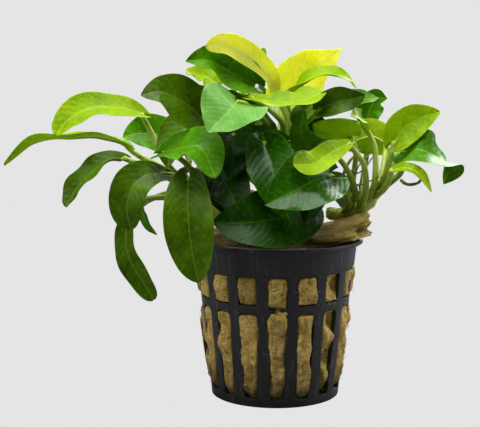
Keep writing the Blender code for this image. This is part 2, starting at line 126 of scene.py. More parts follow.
soft_box("top_box", (-0.05, -0.05, 0.9), (0, 0, 0.07), (0.8, 0.6), 13.0)
soft_box("left_box", (-0.75, -0.45, 0.5), (0, 0, 0.06), (0.4, 0.5), 4.0)
soft_box("right_box", (0.85, 0.1, 0.35), (0, 0, 0.06), (0.3, 0.6), 4.0)
soft_box("back_box", (0.3, 0.6, 0.5), (0, 0, 0.09), (0.6, 0.4), 11.0)

sheet = bmesh.new()
bmesh.ops.create_circle(sheet, cap_ends=True, segments=64, radius=TABLE_RADIUS)
table_mesh = bpy.data.meshes.new("light_table")
sheet.to_mesh(table_mesh)
sheet.free()
table = bpy.data.objects.new("light_table", table_mesh)
bpy.context.scene.collection.objects.link(table)
opal, tree, out = new_material("opal_acrylic")
lit = node(tree, "Emission", {"Color": linear(PALE), "Strength": 1.0})
dull = node(tree, "BsdfDiffuse", {"Color": linear("6C6C6C")})
direct = node(tree, "LightPath").outputs["Is Camera Ray"]
both = node(tree, "MixShader", {0: direct, 1: dull.outputs[0], 2: lit.outputs[0]})
tree.links.new(both.outputs[0], out.inputs["Surface"])
table_mesh.materials.append(opal)


# ---------------------------------------------------------------- net pot
# Black polypropylene, moulded in one piece and reused: a tapered cup of bars and rings under a
# thin flat lip. The stretch of the middle ring that faces the front has snapped off.

POT_WALL = 1.2
FOOT_RADIUS = 19.8
SHOULDER_RADIUS = 24.9
LIP_RADIUS = 27.0
LIP_UNDERSIDE = 47.8
COLUMNS = 16
COLUMN_STEP = math.tau / COLUMNS
SLOT_HEIGHTS = (2.7, 29.0)
WINDOW_HEIGHTS = (31.5, 40.2)
SLOT_WIDTHS = (4.0, 5.8)
SLOT_ARCH = 1.9  # the rise of a slot's rounded top corners
BAND_STEP = 0.3  # how far the plain band under the lip stands proud of the bars
WINDOW_CORNER = 0.5
HUB_RADIUS = 8.0
DRAIN_RADIUS = 15.0
FRONT_TURN = -math.pi / 2
WALL_ROWS = (0.0, 0.6, 1.6, 2.7, 3.0, 3.6, 5.0, 9.0, 13.0, 17.0, 21.0, 25.0, 27.1, 27.9, 28.5, 28.85,
             29.0, 29.8, 30.7, 31.5, 31.65, 32.0, 34.0, 37.0, 39.7, 40.05, 40.2, 40.6, 40.8, 42.0, 44.5,
             46.6, 47.8)
BAR_COLUMNS = 3
SLOT_COLUMNS = 6


def per_mm(size):
    """The scale that gives a pattern cells of a size in millimetres, on metres."""
    return 1.0 / (size * MM)


def mixed(tree, share, low, high):
    """One colour laid over another by a share; a colour is an sRGB hex or a node's output."""
    low, high = [linear(end) if isinstance(end, str) else end for end in (low, high)]
    return node(tree, "Mix", {0: share, 6: low, 7: high}, data_type="RGBA").outputs[2]


def cloud(tree, place, size, detail):
    """Soft noise with lumps of a size in millimetres."""
    return node(tree, "TexNoise", {"Vector": place, "Scale": per_mm(size), "Detail": detail}).outputs[0]


def ranged(tree, value, start, end, bottom=0.0, top=1.0):
    """A value that goes from bottom to top while another goes from start to end."""
    return node(tree, "MapRange", {0: value, 1: start, 2: end, 3: bottom, 4: top}).outputs[0]


def maths(tree, operation, *values):
    return node(tree, "Math", dict(enumerate(values)), operation=operation).outputs[0]


def skin_of(tree, tone, roughness, relief, strength, depth, **more):
    """A skin with its relief, whose depth is in millimetres; more names other inputs."""
    bump = node(tree, "Bump", {"Height": relief, "Strength": strength, "Distance": depth * MM})
    inputs = {"Base Color": tone, "Roughness": roughness, "Normal": bump.outputs[0]}
    inputs.update({key.replace("_", " "): value for key, value in more.items()})
    return node(tree, "BsdfPrincipled", inputs).outputs[0]


def add_piece(name, shape, finishes, slot, *stands_for):
    """Turns a bmesh in millimetres into a piece that rides on the object and takes its finishes."""
    bmesh.ops.scale(shape, vec=(MM, MM, MM), verts=shape.verts[:])
    mesh = bpy.data.meshes.new(name)
    shape.to_mesh(mesh)
    shape.free()
    for finish in finishes:
        mesh.materials.append(finish)
    mesh.shade_smooth()
    made = bpy.data.objects.new(name, mesh)
    bpy.context.scene.collection.objects.link(made)
    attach(made, BODY)
    if stands_for:
        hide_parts(*stands_for)
    return made


def wall_radius(height):
    return FOOT_RADIUS + (SHOULDER_RADIUS - FOOT_RADIUS) * height / LIP_UNDERSIDE


def open_half_width(height):
    """Half the width of a slot or window at a height, with its corners rounded."""
    bottom, top = SLOT_HEIGHTS
    share = min(max((height - bottom) / (top - bottom), 0.0), 1.0)
    half = (SLOT_WIDTHS[0] + (SLOT_WIDTHS[1] - SLOT_WIDTHS[0]) * share) / 2
    corner = 0.0
    if bottom < height <= top:
        corner = max(height - (top - SLOT_ARCH), 0.0) / SLOT_ARCH
        corner = max(corner, (bottom + 0.9 - height) / 0.9)
        return half - 1.4 * (1 - math.sqrt(1 - corner * corner))
    for edge in WINDOW_HEIGHTS:
        corner = max(corner, 1 - abs(height - edge) / WINDOW_CORNER)
    return half - WINDOW_CORNER * (1 - math.sqrt(1 - min(corner, 1.0) ** 2))


def pot_wall():
    """The whole wall as an open skin: one column's panel, turned round the pot."""
    shape = bmesh.new()
    across = 2 * BAR_COLUMNS + SLOT_COLUMNS
    rows = len(WALL_ROWS)
    bmesh.ops.create_grid(shape, x_segments=across, y_segments=rows - 1, size=0.5)
    shape.verts.ensure_lookup_table()
    openings = []
    for face in shape.faces:
        middle = face.calc_center_median()
        row = WALL_ROWS[int((middle.y + 0.5) * (rows - 1))]
        in_slot = abs(middle.x) < SLOT_COLUMNS / across / 2
        low, high = SLOT_HEIGHTS, WINDOW_HEIGHTS
        if in_slot and (low[0] <= row < low[1] or high[0] <= row < high[1]):
            openings.append(face)
    bmesh.ops.delete(shape, geom=openings, context="FACES")
    for vert in shape.verts:
        height = WALL_ROWS[round((vert.co.y + 0.5) * (rows - 1))]
        radius = wall_radius(height) + (BAND_STEP if height > WINDOW_HEIGHTS[1] + 0.5 else 0.0)
        step = vert.co.x * across
        half_angle = open_half_width(height) / radius
        if abs(step) <= SLOT_COLUMNS / 2:
            turn = step / (SLOT_COLUMNS / 2) * half_angle
        else:
            share = (abs(step) - SLOT_COLUMNS / 2) / BAR_COLUMNS
            turn = math.copysign(half_angle + (COLUMN_STEP / 2 - half_angle) * share, step)
        turn += FRONT_TURN
        vert.co = (radius * math.cos(turn), radius * math.sin(turn), height)
    bmesh.ops.spin(shape, geom=shape.verts[:] + shape.edges[:] + shape.faces[:], cent=(0, 0, 0),
                   axis=(0, 0, 1), angle=math.tau - COLUMN_STEP, steps=COLUMNS - 1, use_duplicate=True)
    bmesh.ops.remove_doubles(shape, verts=shape.verts[:], dist=0.02)
    return shape


def snap_front_ring(shape):
    """Breaks the ring in the front column, and leaves a pointed stub on each side."""
    low, high = SLOT_HEIGHTS[1], WINDOW_HEIGHTS[0]
    half = SLOT_WIDTHS[1] / 2
    lost = [f for f in shape.faces
            if low < f.calc_center_median().z < high and f.calc_center_median().y < 0
            and abs(f.calc_center_median().x) < half / 3]
    bmesh.ops.delete(shape, geom=lost, context="FACES")
    for vert in shape.verts:
        if low - 0.05 < vert.co.z < high + 0.05 and vert.co.y < 0 and abs(vert.co.x) < half - 0.1:
            taper = abs(vert.co.x) / half
            middle = low + 1.0 + 0.4 * math.copysign(1, vert.co.x)
            vert.co.z = middle + (vert.co.z - middle) * (0.25 + 0.75 * taper * taper)
            vert.co.x *= 1.08


def close_foot_and_lip(shape):
    """Adds the lip's flange, and a floor with drain slots round a solid hub."""
    rim = [e for e in shape.edges if e.is_boundary and min(v.co.z for v in e.verts) > LIP_UNDERSIDE - 0.01]
    made = bmesh.ops.extrude_edge_only(shape, edges=rim)["geom"]
    for vert in (item for item in made if isinstance(item, bmesh.types.BMVert)):
        vert.co.xy = vert.co.xy.normalized() * LIP_RADIUS
    ring = [e for e in shape.edges if e.is_boundary and max(v.co.z for v in e.verts) < 0.01]
    for radius in (DRAIN_RADIUS, HUB_RADIUS):
        made = bmesh.ops.extrude_edge_only(shape, edges=ring)["geom"]
        ring = [item for item in made if isinstance(item, bmesh.types.BMEdge)]
        for vert in (item for item in made if isinstance(item, bmesh.types.BMVert)):
            vert.co.xy = vert.co.xy.normalized() * radius
    bmesh.ops.contextual_create(shape, geom=ring)
    drains = []
    for face in shape.faces:
        middle = face.calc_center_median()
        column = (math.atan2(middle.y, middle.x) - FRONT_TURN) / COLUMN_STEP
        if middle.z < 0.1 and HUB_RADIUS < middle.xy.length < DRAIN_RADIUS:
            if abs(column - round(column)) < SLOT_COLUMNS / (2 * BAR_COLUMNS + SLOT_COLUMNS) / 2:
                drains.append(face)
    bmesh.ops.delete(shape, geom=drains, context="FACES")
    bmesh.ops.recalc_face_normals(shape, faces=shape.faces[:])
    underside = min(shape.faces, key=lambda face: face.calc_center_median().length)
    if underside.normal.z > 0:
        bmesh.ops.reverse_faces(shape, faces=shape.faces[:])


def polypropylene():
    """Moulded black polypropylene: matt charcoal, scuffed paler, with pocks and a pale dry film of scuffs
    that is made stronger on the left and right flanks as a painted sheen.
    """
    made, tree, out = new_material("moulded_polypropylene")
    place = node(tree, "TexCoord").outputs["Object"]
    shade = cloud(tree, place, 7, 4.0)
    grain = cloud(tree, place, 0.5, 3.0)
    tone = mixed(tree, shade, "0B0C0D", "1C1D1E")
    tone = mixed(tree, ranged(tree, grain, 0.62, 0.74), tone, "3E3E3C")
    drawn = node(tree, "Mapping", {"Vector": place, "Scale": (1.0, 1.0, 0.12)}).outputs[0]
    scratch = ranged(tree, cloud(tree, drawn, 1.1, 6.0), 0.56, 0.72, top=0.75)
    side = maths(tree, "ABSOLUTE", node(tree, "SeparateXYZ", {0: place}).outputs[0])
    # Painted sheen: the pale scuffs grow stronger towards the pot's left and right flanks, where light
    # glances off its sides.
    side_sheen = ranged(tree, side, 14 * MM, 25 * MM)
    scuffs_and_side_sheen = maths(tree, "MULTIPLY", scratch, maths(tree, "ADD", side_sheen, 0.25))
    tone = mixed(tree, scuffs_and_side_sheen, tone, "6A6B68")
    cell = node(tree, "TexVoronoi", {"Vector": place, "Scale": per_mm(3.4)}).outputs["Distance"]
    pock = ranged(tree, cell, 0.10, 0.16, 1.0, 0.0)
    tone = mixed(tree, pock, tone, "050505")
    roughness = ranged(tree, shade, 0.3, 0.7, 0.4, 0.58)
    relief = maths(tree, "SUBTRACT", grain, pock)
    skin = skin_of(tree, tone, roughness, relief, 0.35, 0.12, IOR=1.49)
    tree.links.new(skin, out.inputs["Surface"])
    return made


pot_shape = pot_wall()
snap_front_ring(pot_shape)
close_foot_and_lip(pot_shape)
pot = add_piece("pot", pot_shape, [polypropylene()], "pot_plastic", "net_pot")
thickness = pot.modifiers.new("wall", "SOLIDIFY")
thickness.thickness = POT_WALL * MM
thickness.offset = -1.0
thickness.use_even_offset = True
softened = pot.modifiers.new("moulded_edges", "BEVEL")
softened.width = 0.16 * MM
softened.segments = 2
softened.limit_method = "ANGLE"
softened.angle_limit = math.radians(40)


# ---------------------------------------------------------------- rock wool
# Mineral wool spun from molten rock, packed round the roots: a matted khaki plug that swells out
# of the pot's openings, a torn piece folded over the rim, and loose glassy strands all over.

WOOL_TOP = 49.0
WOOL_BOTTOM = 1.6
WOOL_INSET = 1.45
WOOL_AROUND = 256
WOOL_ROWS = 96
CROWN_ROWS = 20
STRAND_RADIUS = 0.05
STRAND_BENDS = 4


def wool_depth(turn, height):
    """How far the wool stands out from the wall's inner face: into openings, over the front bars."""
    column = (turn - FRONT_TURN) / COLUMN_STEP
    off = abs(column - round(column)) * COLUMN_STEP * wall_radius(height)
    ragged = noise.noise(Vector((turn * 9, height * 0.17, 2.0)))
    reach = 0.35 + 1.1 * ragged
    inside = min(max((open_half_width(height) + reach - off) / 1.2, 0.0), 1.0)
    if SLOT_HEIGHTS[1] - 0.6 < height < WINDOW_HEIGHTS[0] + 0.6 and round(column) % COLUMNS:
        inside = 0.0
    if height > WINDOW_HEIGHTS[1] - 0.4 or height < SLOT_HEIGHTS[0] + 0.3:
        inside = 0.0
    lump = noise.noise(Vector((column * 1.3, height * 0.13, 4.0)))
    knob = noise.noise(Vector((column * 5.0, height * 0.24, 7.0)))
    swell = 1.75 + 1.3 * lump + 0.9 * knob
    burst = math.exp(-((column - 1.06) / 0.34) ** 2)
    spill = burst * (math.exp(-((height - 35) / 4.0) ** 2) + math.exp(-((height - 8) / 5.0) ** 2))
    hollow = math.exp(-((column - 2.2) / 0.4) ** 2) * (0.5 + 0.5 * math.sin(height * 0.55))
    foot = max(1 - (height - SLOT_HEIGHTS[0]) / 2.5, 0.0)
    broken = math.exp(-((height - 30.4) / 0.7) ** 2)
    return inside ** 0.5 * (swell + 1.6 * spill - 2.6 * hollow - 1.8 * foot - 2.4 * broken)


def wool_point(turn, height):
    rough = noise.noise(Vector((math.cos(turn) * 14, math.sin(turn) * 14, height * 0.55)))
    fine = noise.noise(Vector((math.cos(turn) * 60, math.sin(turn) * 60, height * 2.1)))
    radius = wall_radius(height) - WOOL_INSET + wool_depth(turn, height)
    radius += min(0.34 * rough + 0.22 * fine, 0.1 + max(wool_depth(turn, height), 0.0))
    return Vector((radius * math.cos(turn), radius * math.sin(turn), height))


def make_plug():
    shape = bmesh.new()
    bmesh.ops.create_grid(shape, x_segments=WOOL_AROUND, y_segments=WOOL_ROWS, size=0.5)
    for vert in shape.verts:
        turn = vert.co.x * math.tau
        vert.co = wool_point(turn, WOOL_BOTTOM + (vert.co.y + 0.5) * (WOOL_TOP - WOOL_BOTTOM))
    bmesh.ops.remove_doubles(shape, verts=shape.verts[:], dist=0.001)
    ring = [e for e in shape.edges if e.is_boundary and e.verts[0].co.z > WOOL_TOP - 1]
    for row in range(1, CROWN_ROWS + 1):
        made = bmesh.ops.extrude_edge_only(shape, edges=ring)["geom"]
        ring = [item for item in made if isinstance(item, bmesh.types.BMEdge)]
        for vert in (item for item in made if isinstance(item, bmesh.types.BMVert)):
            vert.co.xy = vert.co.xy * (CROWN_ROWS - row + 0.3) / (CROWN_ROWS - row + 1.3)
            swell = noise.noise(Vector((vert.co.x * 0.16, vert.co.y * 0.16, 9.0)))
            tuft = noise.noise(Vector((vert.co.x * 0.9, vert.co.y * 0.9, 3.0)))
            vert.co.z = WOOL_TOP + min(row / 3, 1.0) * (1.2 + 1.4 * swell + 0.6 * tuft)
    bmesh.ops.holes_fill(shape, edges=[e for e in shape.edges if e.is_boundary], sides=0)
    bmesh.ops.recalc_face_normals(shape, faces=shape.faces[:])
    return shape


def make_flap():
    """The folded piece: a squashed ball, sheared over the rim, crumpled and torn at its right end."""
    low = Vector(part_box("wool_flap")[0]) / MM
    shape = bmesh.new()
    bmesh.ops.create_icosphere(shape, subdivisions=6, radius=1.0)
    for vert in shape.verts:
        spot = vert.co.copy()
        fold = 0.22 * math.sin(7.0 * spot.z + 3.5 * spot.x) + 0.34 * noise.noise(spot * 2.3)
        torn = 0.05 * noise.noise(spot * 7.0) + 0.02 * noise.noise(spot * 19.0)
        spot *= 1 + fold * 0.45 + torn * (1 + 0.6 * max(spot.x, 0.0))
        rise = 0.65 + 0.45 * spot.x
        vert.co = (spot.x * 13.5, spot.y * 12.0, max(spot.z, -0.12) * 6.4 * rise)
        vert.co.x += 0.8 * max(vert.co.z, 0.0) + 14.0
        vert.co.y -= 7.5
        vert.co.z += low.z + 0.8 + 1.7 * max(spot.x, 0.0)
    return shape


def bar(shape, stations, sides, material_index=0):
    """A closed bar through stations, each a centre, a sideways and an upward radius vector."""
    rows = len(stations) - 1
    made = bmesh.ops.create_grid(shape, x_segments=sides, y_segments=rows, size=0.5)["verts"]
    faces = list(dict.fromkeys(face for vert in made for face in vert.link_faces))
    for vert in made:
        centre, side, up = stations[round((vert.co.y + 0.5) * rows)]
        turn = (vert.co.x + 0.5) * math.tau
        vert.co = centre + side * math.cos(turn) + up * math.sin(turn)
    for face in faces:
        face.material_index = material_index
    bmesh.ops.remove_doubles(shape, verts=made, dist=0.0001)
    made = [vert for vert in made if vert.is_valid]
    ends = dict.fromkeys(edge for vert in made for edge in vert.link_edges if edge.is_boundary)
    caps = bmesh.ops.holes_fill(shape, edges=list(ends), sides=0)["faces"]
    for face in caps:
        face.material_index = material_index
    bmesh.ops.recalc_face_normals(shape, faces=[f for f in faces if f.is_valid] + caps)


def strand(shape, start, heading, length, curl, draw):
    """One stray fibre: a three-sided bar that wanders as it goes and thins to its end."""
    spot = start.copy()
    stations = []
    for bend in range(STRAND_BENDS + 1):
        side = heading.orthogonal().normalized()
        thin = STRAND_RADIUS * (1 - 0.8 * abs(2 * bend / STRAND_BENDS - 1) ** 2)
        stations.append((spot.copy(), side * thin, heading.cross(side) * thin))
        spot += heading * length / STRAND_BENDS
        turn = Vector([draw.uniform(-1, 1) for axis in range(3)])
        heading = (heading + curl * turn).normalized()
    bar(shape, stations, 3)


def make_strands(count_wall, count_crown):
    """Loose fibres that lie on the wool in the openings, and a tangle on its top."""
    draw = random.Random(7)
    shape = bmesh.new()
    for k in range(count_wall):
        column = draw.randrange(COLUMNS) + draw.uniform(-0.24, 0.24)
        height = draw.choice((draw.uniform(4, 28), draw.uniform(4, 28), draw.uniform(32, 39.5)))
        turn = FRONT_TURN + column * COLUMN_STEP
        out_way = Vector((math.cos(turn), math.sin(turn), 0))
        start = wool_point(turn, height) + out_way * draw.uniform(0.0, 0.25)
        heading = Vector((-out_way.y, out_way.x, 0)) * draw.uniform(-1, 1)
        heading.z = draw.uniform(-1, 1)
        strand(shape, start, heading.normalized(), draw.uniform(1.2, 3.2), 0.45, draw)
    for k in range(count_crown):
        turn = draw.uniform(0, math.tau)
        radius = 23.0 * math.sqrt(draw.random())
        height = WOOL_TOP + draw.uniform(0.8, 2.0)
        start = Vector((radius * math.cos(turn), radius * math.sin(turn), height))
        heading = Vector((draw.uniform(-1, 1), draw.uniform(-1, 1), draw.uniform(0.0, 0.5))).normalized()
        strand(shape, start, heading, draw.uniform(3.0, 8.0), 0.6, draw)
    return shape


def rock_wool(name, deep, main, pale, felt):
    """Rock wool: khaki with paler strands, the closer the felt the fewer, darker towards the bottom, and
    with painted shade on its top under the leaves.
    """
    made, tree, out = new_material(name)
    place = node(tree, "TexCoord").outputs["Object"]
    warp = node(tree, "TexNoise", {"Vector": place, "Scale": per_mm(6), "Detail": 2.0}).outputs["Color"]
    push = node(tree, "VectorMath", {0: warp, "Scale": 5 * MM}, operation="SCALE").outputs[0]
    stirred = node(tree, "VectorMath", {0: place, 1: push}, operation="ADD").outputs[0]
    fibres = []
    for squeeze in ((1.0, 1.0, 0.16), (0.2, 0.2, 1.0)):
        way = node(tree, "Mapping", {"Vector": stirred, "Scale": squeeze}).outputs[0]
        fibres.append(node(tree, "TexNoise", {"Vector": way, "Scale": per_mm(0.55), "Detail": 6.0,
                                              "Roughness": 0.7}).outputs[0])
    mat = maths(tree, "MAXIMUM", *fibres)
    tone = mixed(tree, ranged(tree, cloud(tree, place, 5, 4.0), 0.35, 0.65), deep, main)
    tone = mixed(tree, ranged(tree, mat, 0.54, 0.72, top=1 - felt), tone, pale)
    tone = mixed(tree, ranged(tree, mat, 0.5, 0.40, top=0.85 * (1 - felt)), tone, "3A2C0E")
    height = node(tree, "SeparateXYZ", {0: place}).outputs["Z"]
    # The foot is simply darker towards the bottom; the top of the plug, under the leaves, is darkened as
    # painted shade.
    foot = ranged(tree, height, 15 * MM, 3 * MM, top=0.8)
    crown = ranged(tree, height, 46 * MM, 49 * MM, top=0.8 * (1 - felt))
    tone = mixed(tree, maths(tree, "MAXIMUM", foot, crown), tone, "33280F")
    tree.links.new(skin_of(tree, tone, 0.95, mat, 0.8, 0.5), out.inputs["Surface"])
    return made


def glassy_strand():
    """Single mineral fibres: straw coloured, with the faint shine of glass."""
    made, tree, out = new_material("mineral_fibre")
    place = node(tree, "TexCoord").outputs["Object"]
    share = ranged(tree, cloud(tree, place, 2.5, 2.0), 0.38, 0.66)
    tone = mixed(tree, share, "7E6A30", "C6B478")
    skin = node(tree, "BsdfPrincipled", {"Base Color": tone, "Roughness": 0.5})
    tree.links.new(skin.outputs[0], out.inputs["Surface"])
    return made


MATTED_WOOL = rock_wool("matted_rock_wool", "9C7C2C", "D2B05C", "EAD898", 0.0)
FELTED_WOOL = rock_wool("felted_rock_wool", "8E782E", "B89E4E", "CDB76C", 0.6)
add_piece("wool_plug_matted", make_plug(), [MATTED_WOOL], "rock_wool", "wool_plug")
add_piece("wool_flap_torn", make_flap(), [FELTED_WOOL], "rock_wool", "wool_flap")
add_piece("wool_strands", make_strands(600, 300), [glassy_strand()], "rock_wool")


# ---------------------------------------------------------------- rhizomes and loose roots
# The thick creeping stems that everything grows from, ringed where old leaves fell off, and the
# wiry roots that hang free of the wool. They grew through it and are held by it.

RHIZOMES = {
    "left": dict(points=[(-13, -4, 52), (-18, -5, 57), (-25, -3, 63), (-30, -1, 69)], radii=(2.9, 2.4)),
    "middle": dict(points=[(1, 3, 50), (2, 3, 60), (0, 3, 70), (1, 4, 80)], radii=(3.0, 2.4)),
    "right": dict(points=[(16, 2, 56), (22, 0, 56), (28, -1, 59), (32, 0, 65)], radii=(2.1, 1.9)),
    "back": dict(points=[(-2, 14, 52), (-1, 18, 58), (2, 22, 64)], radii=(2.6, 2.2)),
}
NODE_STEP = 3.2
ROOTS = {
    "root_loop_right": [(38, -5, 67), (40, -8, 66), (43, -9, 67), (44, -8, 70)],
    "root_right": [(23, 5, 60), (21, 6, 65), (23, 8, 71), (27, 9, 75)],
}
FINE_ROOTS = [
    [(24, -2, 61), (23, -3, 66), (25, -3, 71), (28, -3, 74)],
    [(23, -3, 70), (25, -4, 69), (27, -4, 71), (28, -4, 74)],
    [(24, -3, 65), (27, -5, 66), (31, -6, 68), (35, -6, 67)],
    [(22, -4, 59), (22, -6, 63), (21, -6, 67)],
    [(26, 3, 60), (27, 5, 67), (31, 6, 74)],
    [(20, -5, 54), (22, -7, 58), (24, -7, 62)],
]
FINE_ROOT_RADIUS = 0.28
ROOT_RADIUS = 0.55
SPAN_STEPS = 24


def smooth_path(points):
    """Points along a Catmull-Rom curve through the given points."""
    knots = [Vector(p) for p in points]
    knots = [2 * knots[0] - knots[1]] + knots + [2 * knots[-1] - knots[-2]]
    path = []
    for k in range(1, len(knots) - 2):
        a, b, c, d = knots[k - 1:k + 3]
        for step in range(SPAN_STEPS):
            t = step / SPAN_STEPS
            path.append(0.5 * (2 * b + (c - a) * t + (2 * a - 5 * b + 4 * c - d) * t ** 2
                               + (3 * b - a - 3 * c + d) * t ** 3))
    path.append(knots[-2])
    return path


def place_on(path, fraction):
    """The point and the direction at a fraction of a path's length."""
    lengths = [(b - a).length for a, b in zip(path, path[1:])]
    left = fraction * sum(lengths)
    k = 0
    while k < len(lengths) - 1 and left > lengths[k]:
        left -= lengths[k]
        k += 1
    point = path[k] + (path[k + 1] - path[k]) * (left / lengths[k])
    before = path[max(k - 1, 0)]
    after = path[min(k + 2, len(path) - 1)]
    return point, (after - before).normalized()


def length_of(path):
    return sum((b - a).length for a, b in zip(path, path[1:]))


def round_stations(path, radius_at, count, up=Vector((0.2, 0.1, 1.0))):
    """Stations for a round bar along a path, carried along it without twist."""
    stations = []
    for k in range(count + 1):
        centre, along = place_on(path, k / count)
        up = (up - along * up.dot(along)).normalized()
        radius = radius_at(k / count)
        stations.append((centre, along.cross(up) * radius, up * radius))
    return stations


def wander(spot, pace):
    """A slow drift in three directions, the same on every run."""
    return Vector([noise.noise(spot * pace + Vector((0.0, 0.0, lane))) for lane in (11.3, 42.7, 73.1)])


def rhizome_skin():
    """Living rhizome: smooth green skin at the growing tip, tan and corky where it is older."""
    made, tree, out = new_material("anubias_rhizome")
    place = node(tree, "TexCoord").outputs["Object"]
    shade = cloud(tree, place, 3.5, 5.0)
    young = ranged(tree, node(tree, "SeparateXYZ", {0: place}).outputs["Z"], 50 * MM, 55 * MM)
    green = mixed(tree, shade, "8EA02C", "C4D05A")
    brown = mixed(tree, shade, "4A3216", "94753A")
    scar = ranged(tree, cloud(tree, place, 1.6, 3.0), 0.58, 0.66, top=0.7)
    tone = mixed(tree, scar, mixed(tree, young, brown, green), "513A1C")
    tree.links.new(skin_of(tree, tone, 0.42, shade, 0.5, 0.3), out.inputs["Surface"])
    return made


def root_skin():
    """Wiry aerial root: olive to brown, dull, a little paler along its length in places."""
    made, tree, out = new_material("anubias_root")
    place = node(tree, "TexCoord").outputs["Object"]
    shade = cloud(tree, place, 2.2, 4.0)
    tone = mixed(tree, ranged(tree, shade, 0.35, 0.65), "3B3312", "8A8A35")
    tree.links.new(skin_of(tree, tone, 0.5, shade, 0.4, 0.1), out.inputs["Surface"])
    return made


RHIZOME_SKIN = rhizome_skin()
ROOT_SKIN = root_skin()

for place, stem in RHIZOMES.items():
    stem["path"] = smooth_path(stem["points"])
    rings = length_of(stem["path"]) / NODE_STEP

    def swell(share, stem=stem, rings=rings):
        thick = stem["radii"][0] + (stem["radii"][1] - stem["radii"][0]) * share
        collar = abs(math.sin(math.pi * rings * share)) ** 0.5
        rounded = min(1.0, 3.2 * (1.02 - share) ** 0.6, 0.8 + 4 * share)
        return thick * rounded * (0.9 + 0.12 * collar)

    shape = bmesh.new()
    bar(shape, round_stations(stem["path"], swell, 64), 28)
    for vert in shape.verts:
        vert.co += vert.normal * 0.25 * noise.noise(vert.co * 0.9)
    add_piece("rhizome_" + place + "_ringed", shape, [RHIZOME_SKIN], "rhizome_skin", "rhizome_" + place)

for name, points in ROOTS.items():
    shape = bmesh.new()
    stations = round_stations(smooth_path(points), lambda share: ROOT_RADIUS * (1.05 - 0.4 * share), 40)
    bar(shape, stations, 10)
    for vert in shape.verts:
        vert.co += 0.16 * wander(vert.co, 0.7)
    add_piece(name + "_wiry", shape, [ROOT_SKIN], "root_skin", name)

shape = bmesh.new()
for points in FINE_ROOTS:
    stations = round_stations(smooth_path(points), lambda share: FINE_ROOT_RADIUS * (1.1 - 0.5 * share), 30)
    bar(shape, stations, 8)
for vert in shape.verts:
    vert.co += 0.3 * wander(vert.co, 0.5)
add_piece("fine_roots", shape, [ROOT_SKIN], "root_skin")


# ---------------------------------------------------------------- leaves
# Thick leathery leaves, each grown as one piece with its stalk: a blade folded along a pale
# midrib, side veins that curve to the tip, and two rounded lobes where the stalk meets it.

GAP = 0.3
STALK_RADII = (1.05, 0.8)
BASE_POWER = 0.5
LOBE = 0.3
BLADE_ACROSS = 20
BLADE_ALONG = 40
BLADE_WALL = 0.34
RIB_RADIUS = 0.5
RIB_END = 0.94  # the share of the blade's length where the midrib fades out
VEIN_STEP = 2.3
FINE_VEIN_STEP = 0.62
LEAF_SHINE = 0.13
LEAF_RELIEF = 0.25
STALK_RINGS = 24
DRIFT_DEPTH = 0.35  # how far a blade's plane wanders, in slow swells
DRIFT_PACE = 0.16
EDGE_WAVE = 0.5


def let_light_through(tree, out, tone, skin, glow):
    """Finishes a thin material: its skin, and the share of light that comes through it."""
    through = node(tree, "BsdfTranslucent", {"Color": tone}).outputs[0]
    both = node(tree, "MixShader", {0: glow, 1: skin, 2: through})
    tree.links.new(both.outputs[0], out.inputs["Surface"])


def leaf_skin(name, deep, main, light, vein, gloss, glow, streaks, worn=0.0, coat=0.0):
    """One side of a blade. UV holds millimetres: across the blade from the midrib, and along it."""
    made, tree, out = new_material(name)
    place = node(tree, "TexCoord").outputs["Object"]
    flat = node(tree, "SeparateXYZ", {0: node(tree, "UVMap", uv_map="blade_mm").outputs[0]}).outputs
    edge = node(tree, "SeparateXYZ", {0: node(tree, "UVMap", uv_map="blade_share").outputs[0]}).outputs
    across = maths(tree, "ABSOLUTE", flat[0])
    drift = cloud(tree, place, 5, 2.0)
    mottle = cloud(tree, place, 1.4, 5.0)
    back = maths(tree, "MULTIPLY", across, maths(tree, "MULTIPLY_ADD", across, 0.055, 0.62))
    phase = maths(tree, "MULTIPLY_ADD", drift, 1.1, maths(tree, "SUBTRACT", flat[1], back))
    near = maths(tree, "PINGPONG", phase, VEIN_STEP / 2)
    side_vein = ranged(tree, near, 0.03, 0.30, 1.0, 0.0)
    hair_vein = ranged(tree, maths(tree, "PINGPONG", phase, FINE_VEIN_STEP / 2), 0.02, 0.2, 0.4, 0.0)
    rib = ranged(tree, across, 0.08, 0.34, 0.5, 0.0)
    body = mixed(tree, ranged(tree, cloud(tree, place, 8, 3.0), 0.32, 0.66), deep, main)
    body = mixed(tree, ranged(tree, mottle, 0.48, 0.72, top=0.55), body, light)
    lines = maths(tree, "MAXIMUM", side_vein, hair_vein)
    lines = maths(tree, "MULTIPLY", lines, ranged(tree, drift, 0.35, 0.6, 0.3))
    lines = maths(tree, "MAXIMUM", maths(tree, "MULTIPLY", lines, streaks), rib)
    body = mixed(tree, lines, body, vein)
    margin = ranged(tree, maths(tree, "ABSOLUTE", edge[0]), 0.93, 0.995, top=0.7)
    body = mixed(tree, margin, body, light)
    if worn:
        dirt = ranged(tree, cloud(tree, place, 3, 6.0), 0.55, 0.7, top=worn)
        body = mixed(tree, dirt, body, "8C8A4E")
    relief = maths(tree, "MULTIPLY_ADD", mottle, 0.5, maths(tree, "SUBTRACT", near, hair_vein))
    roughness = ranged(tree, mottle, 0.3, 0.7, gloss - 0.05, gloss + 0.1)
    skin = skin_of(tree, body, roughness, relief, LEAF_RELIEF, 0.16, IOR=1.45,
                   Specular_IOR_Level=LEAF_SHINE, Coat_Weight=coat, Coat_Roughness=0.12)
    let_light_through(tree, out, body, skin, glow)
    return made


